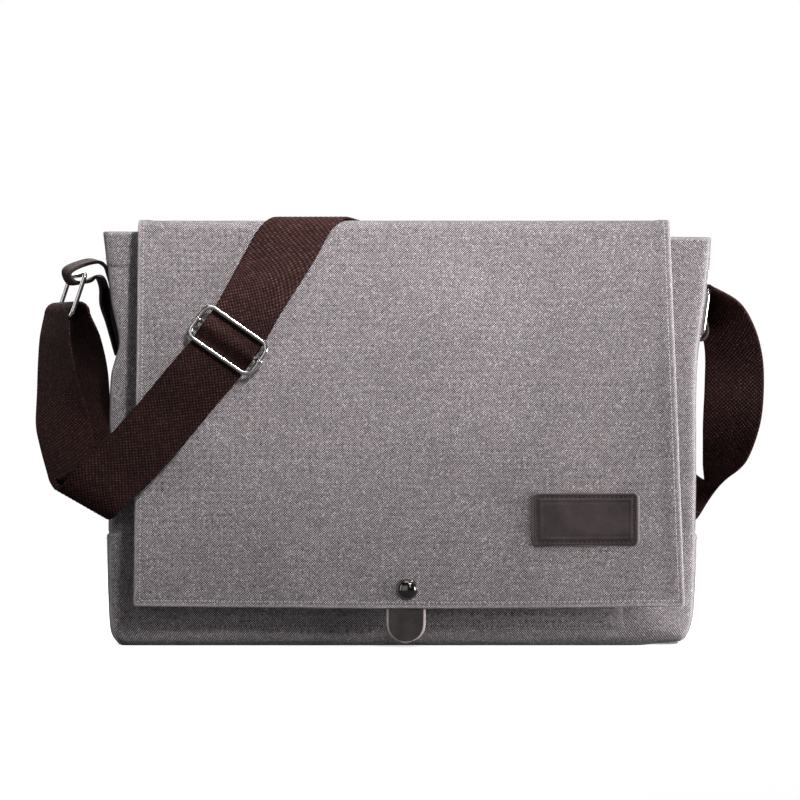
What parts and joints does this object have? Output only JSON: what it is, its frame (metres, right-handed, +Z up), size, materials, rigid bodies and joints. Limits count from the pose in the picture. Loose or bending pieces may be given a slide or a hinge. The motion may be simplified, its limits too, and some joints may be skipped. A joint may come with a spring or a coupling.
{
  "type": "messenger bag",
  "caption": "Canvas messenger bag with a full-width snap flap, leather trim and a wide webbing shoulder strap on wire rings.",
  "frame": {"origin": "middle of the underside of the base, on the plane that the bag stands on", "axes": "+X to the viewer's right along the bag's width, -Y towards the flap's face, +Z up"},
  "size_m": [0.505, 0.1244, 0.2924],
  "materials": {
    "canvas": "heathered taupe-grey plain weave",
    "lining": "plain woven lining",
    "webbing": "coarse dark brown webbing",
    "leather": "satin dark brown-grey leather",
    "nickel": "polished black nickel",
    "board": "matt stiffener board"
  },
  "bodies": {
    "root": {"front_panel": "canvas", "back_panel": "canvas", "left_gusset": "canvas", "right_gusset": "canvas", "base_panel": "canvas", "base_board": "board", "lining": "lining", "front_pocket": "canvas", "snap_stud": "nickel", "left_tab": "leather", "right_tab": "leather", "strap_loop_left_outer": "webbing", "strap_loop_left_inner": "webbing", "strap_back_run": "webbing", "strap_loop_right": "webbing"},
    "flap_top": {"flap_top_canvas": "canvas", "flap_top_lining": "lining", "strap_over_top": "webbing"},
    "flap_front": {"flap_front_canvas": "canvas", "flap_front_lining": "lining", "leather_patch": "leather", "snap_cap": "nickel", "snap_socket": "nickel"},
    "pull_tab": {"pull_tab": "leather"},
    "strap_front": {"strap_front_upper": "webbing", "strap_front_lower": "webbing", "strap_return": "webbing"},
    "adjuster": {"adjuster_frame": "nickel", "adjuster_bar": "nickel", "strap_at_adjuster": "webbing"},
    "strap_loop": {"strap_fold": "webbing"},
    "left_ring": {"left_ring": "nickel", "strap_wrap_left": "webbing"},
    "right_ring": {"right_ring": "nickel", "strap_wrap_right": "webbing"}
  },
  "joints": [
    {"name": "flap_lift", "type": "hinge", "parent": "root", "child": "flap_top", "pos_m": [0, 0.0445, 0.2845], "axis": [-1, 0, 0], "range_deg": [0, 178], "deforming": ["strap_over_top", "strap_back_run", "strap_loop_right", "strap_loop_left_outer", "strap_loop_left_inner", "strap_fold", "strap_front_upper", "strap_front_lower", "strap_return", "strap_at_adjuster"]},
    {"name": "flap_fold", "type": "hinge", "parent": "flap_top", "child": "flap_front", "pos_m": [0, -0.0455, 0.2845], "axis": [-1, 0, 0], "range_deg": [0, 103.5]},
    {"name": "strap_swing", "type": "hinge", "parent": "flap_top", "child": "strap_front", "pos_m": [0, -0.0455, 0.2845], "axis": [-1, 0, 0], "range_deg": [0, 177.5]},
    {"name": "strap_loop_shift", "type": "slide", "parent": "root", "child": "strap_loop", "axis": [0, 0.9999, 0.0101], "range_m": [0, 0.1957]},
    {"name": "pull_tab_flex", "type": "hinge", "parent": "flap_front", "child": "pull_tab", "pos_m": [0, -0.0625, 0.0275], "axis": [-1, 0, 0], "range_deg": [0, 50]},
    {"name": "adjuster_slide", "type": "slide", "parent": "strap_front", "child": "adjuster", "axis": [0.5724, 0.0385, 0.8191], "range_m": [-0.02, 0.035]},
    {"name": "left_ring_swing", "type": "hinge", "parent": "root", "child": "left_ring", "pos_m": [-0.226, 0, 0.2544], "axis": [-0.33, 0.944, 0], "range_deg": [-30, 55], "deforming": ["strap_wrap_left"]},
    {"name": "right_ring_swing", "type": "hinge", "parent": "root", "child": "right_ring", "pos_m": [0.207, 0, 0.214], "axis": [0, 1, 0], "range_deg": [0, 70], "deforming": ["strap_wrap_right"]}
  ],
  "couplings": [
    {"joint": "flap_fold", "follows": "flap_lift", "ratio": 0.58},
    {"joint": "strap_swing", "follows": "flap_lift", "ratio": 0.99438},
    {"joint": "strap_loop_shift", "follows": "flap_lift", "m_per_rad": 0.062846}
  ]
}
